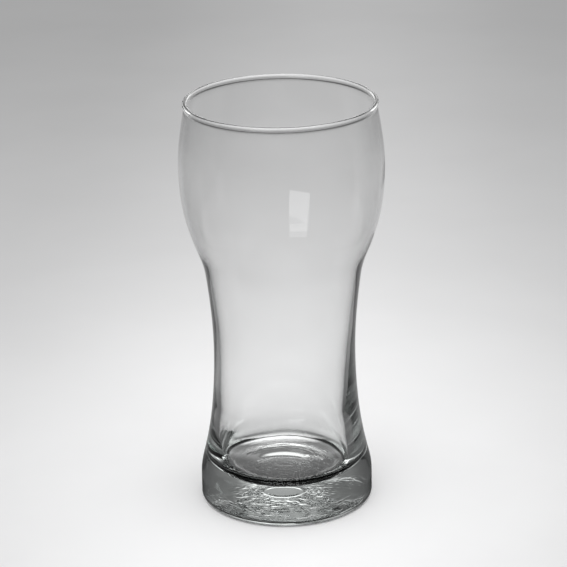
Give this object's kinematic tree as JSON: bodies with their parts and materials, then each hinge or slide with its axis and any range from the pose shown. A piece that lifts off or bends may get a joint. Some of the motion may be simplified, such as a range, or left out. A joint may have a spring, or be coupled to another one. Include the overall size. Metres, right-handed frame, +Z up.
{
  "type": "pint glass",
  "caption": "Clear hourglass pint glass with a swelling bowl, a slim waist, a flared foot, a thick heavy base and a rounded fire-polished rim.",
  "frame": {"origin": "on the glass's axis, at the table: the centre of the flat ring that it stands on", "axes": "+Z up along the axis of the glass, from the foot to the brim; the form is a full turn about it, so +X and +Y are free"},
  "size_m": [0.0828, 0.0828, 0.1704],
  "materials": {
    "clear_glass": "clear fire-polished soda-lime glass, with a faint grey-green tint where it is thick"
  },
  "bodies": {
    "root": {"glass": "clear_glass"}
  },
  "joints": []
}
